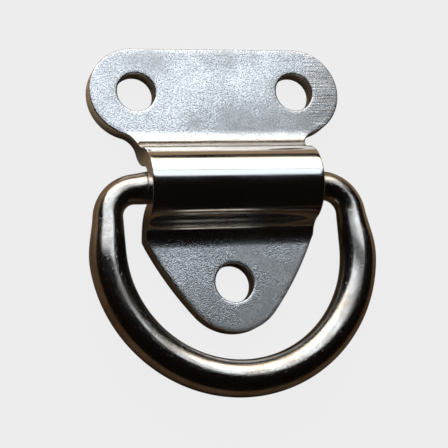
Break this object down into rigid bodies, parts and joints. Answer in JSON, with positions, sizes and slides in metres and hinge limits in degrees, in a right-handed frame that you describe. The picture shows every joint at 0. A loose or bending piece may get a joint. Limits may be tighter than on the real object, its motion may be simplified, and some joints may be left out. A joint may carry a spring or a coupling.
{
  "type": "pad eye with swinging D-ring",
  "caption": "Pressed stainless steel strap plate, screwed flat to a deck, whose raised channel holds a D-ring that swings up and over.",
  "frame": {"origin": "midway between the two upper screw holes, on the face that sits against the deck", "axes": "+X along the pair of upper holes, +Y away from the ring, +Z out of the deck"},
  "size_m": [0.064, 0.078, 0.015],
  "materials": {
    "strap_steel": "tumbled and lightly polished stainless sheet, fine grain and pits on the flanges, brighter over the bend",
    "ring_steel": "satin polished stainless round bar",
    "weld_steel": "butt weld dressed to a low crown, with a straw tint beside it"
  },
  "bodies": {
    "plate": {"mounting_plate": "strap_steel"},
    "ring": {"d_ring": "ring_steel", "ring_weld": "weld_steel"}
  },
  "joints": [
    {"name": "ring_swing", "type": "hinge", "parent": "plate", "child": "ring", "pos_m": [0, -0.022, 0.00675], "axis": [-1, 0, 0], "range_deg": [-3.5, 175]}
  ]
}
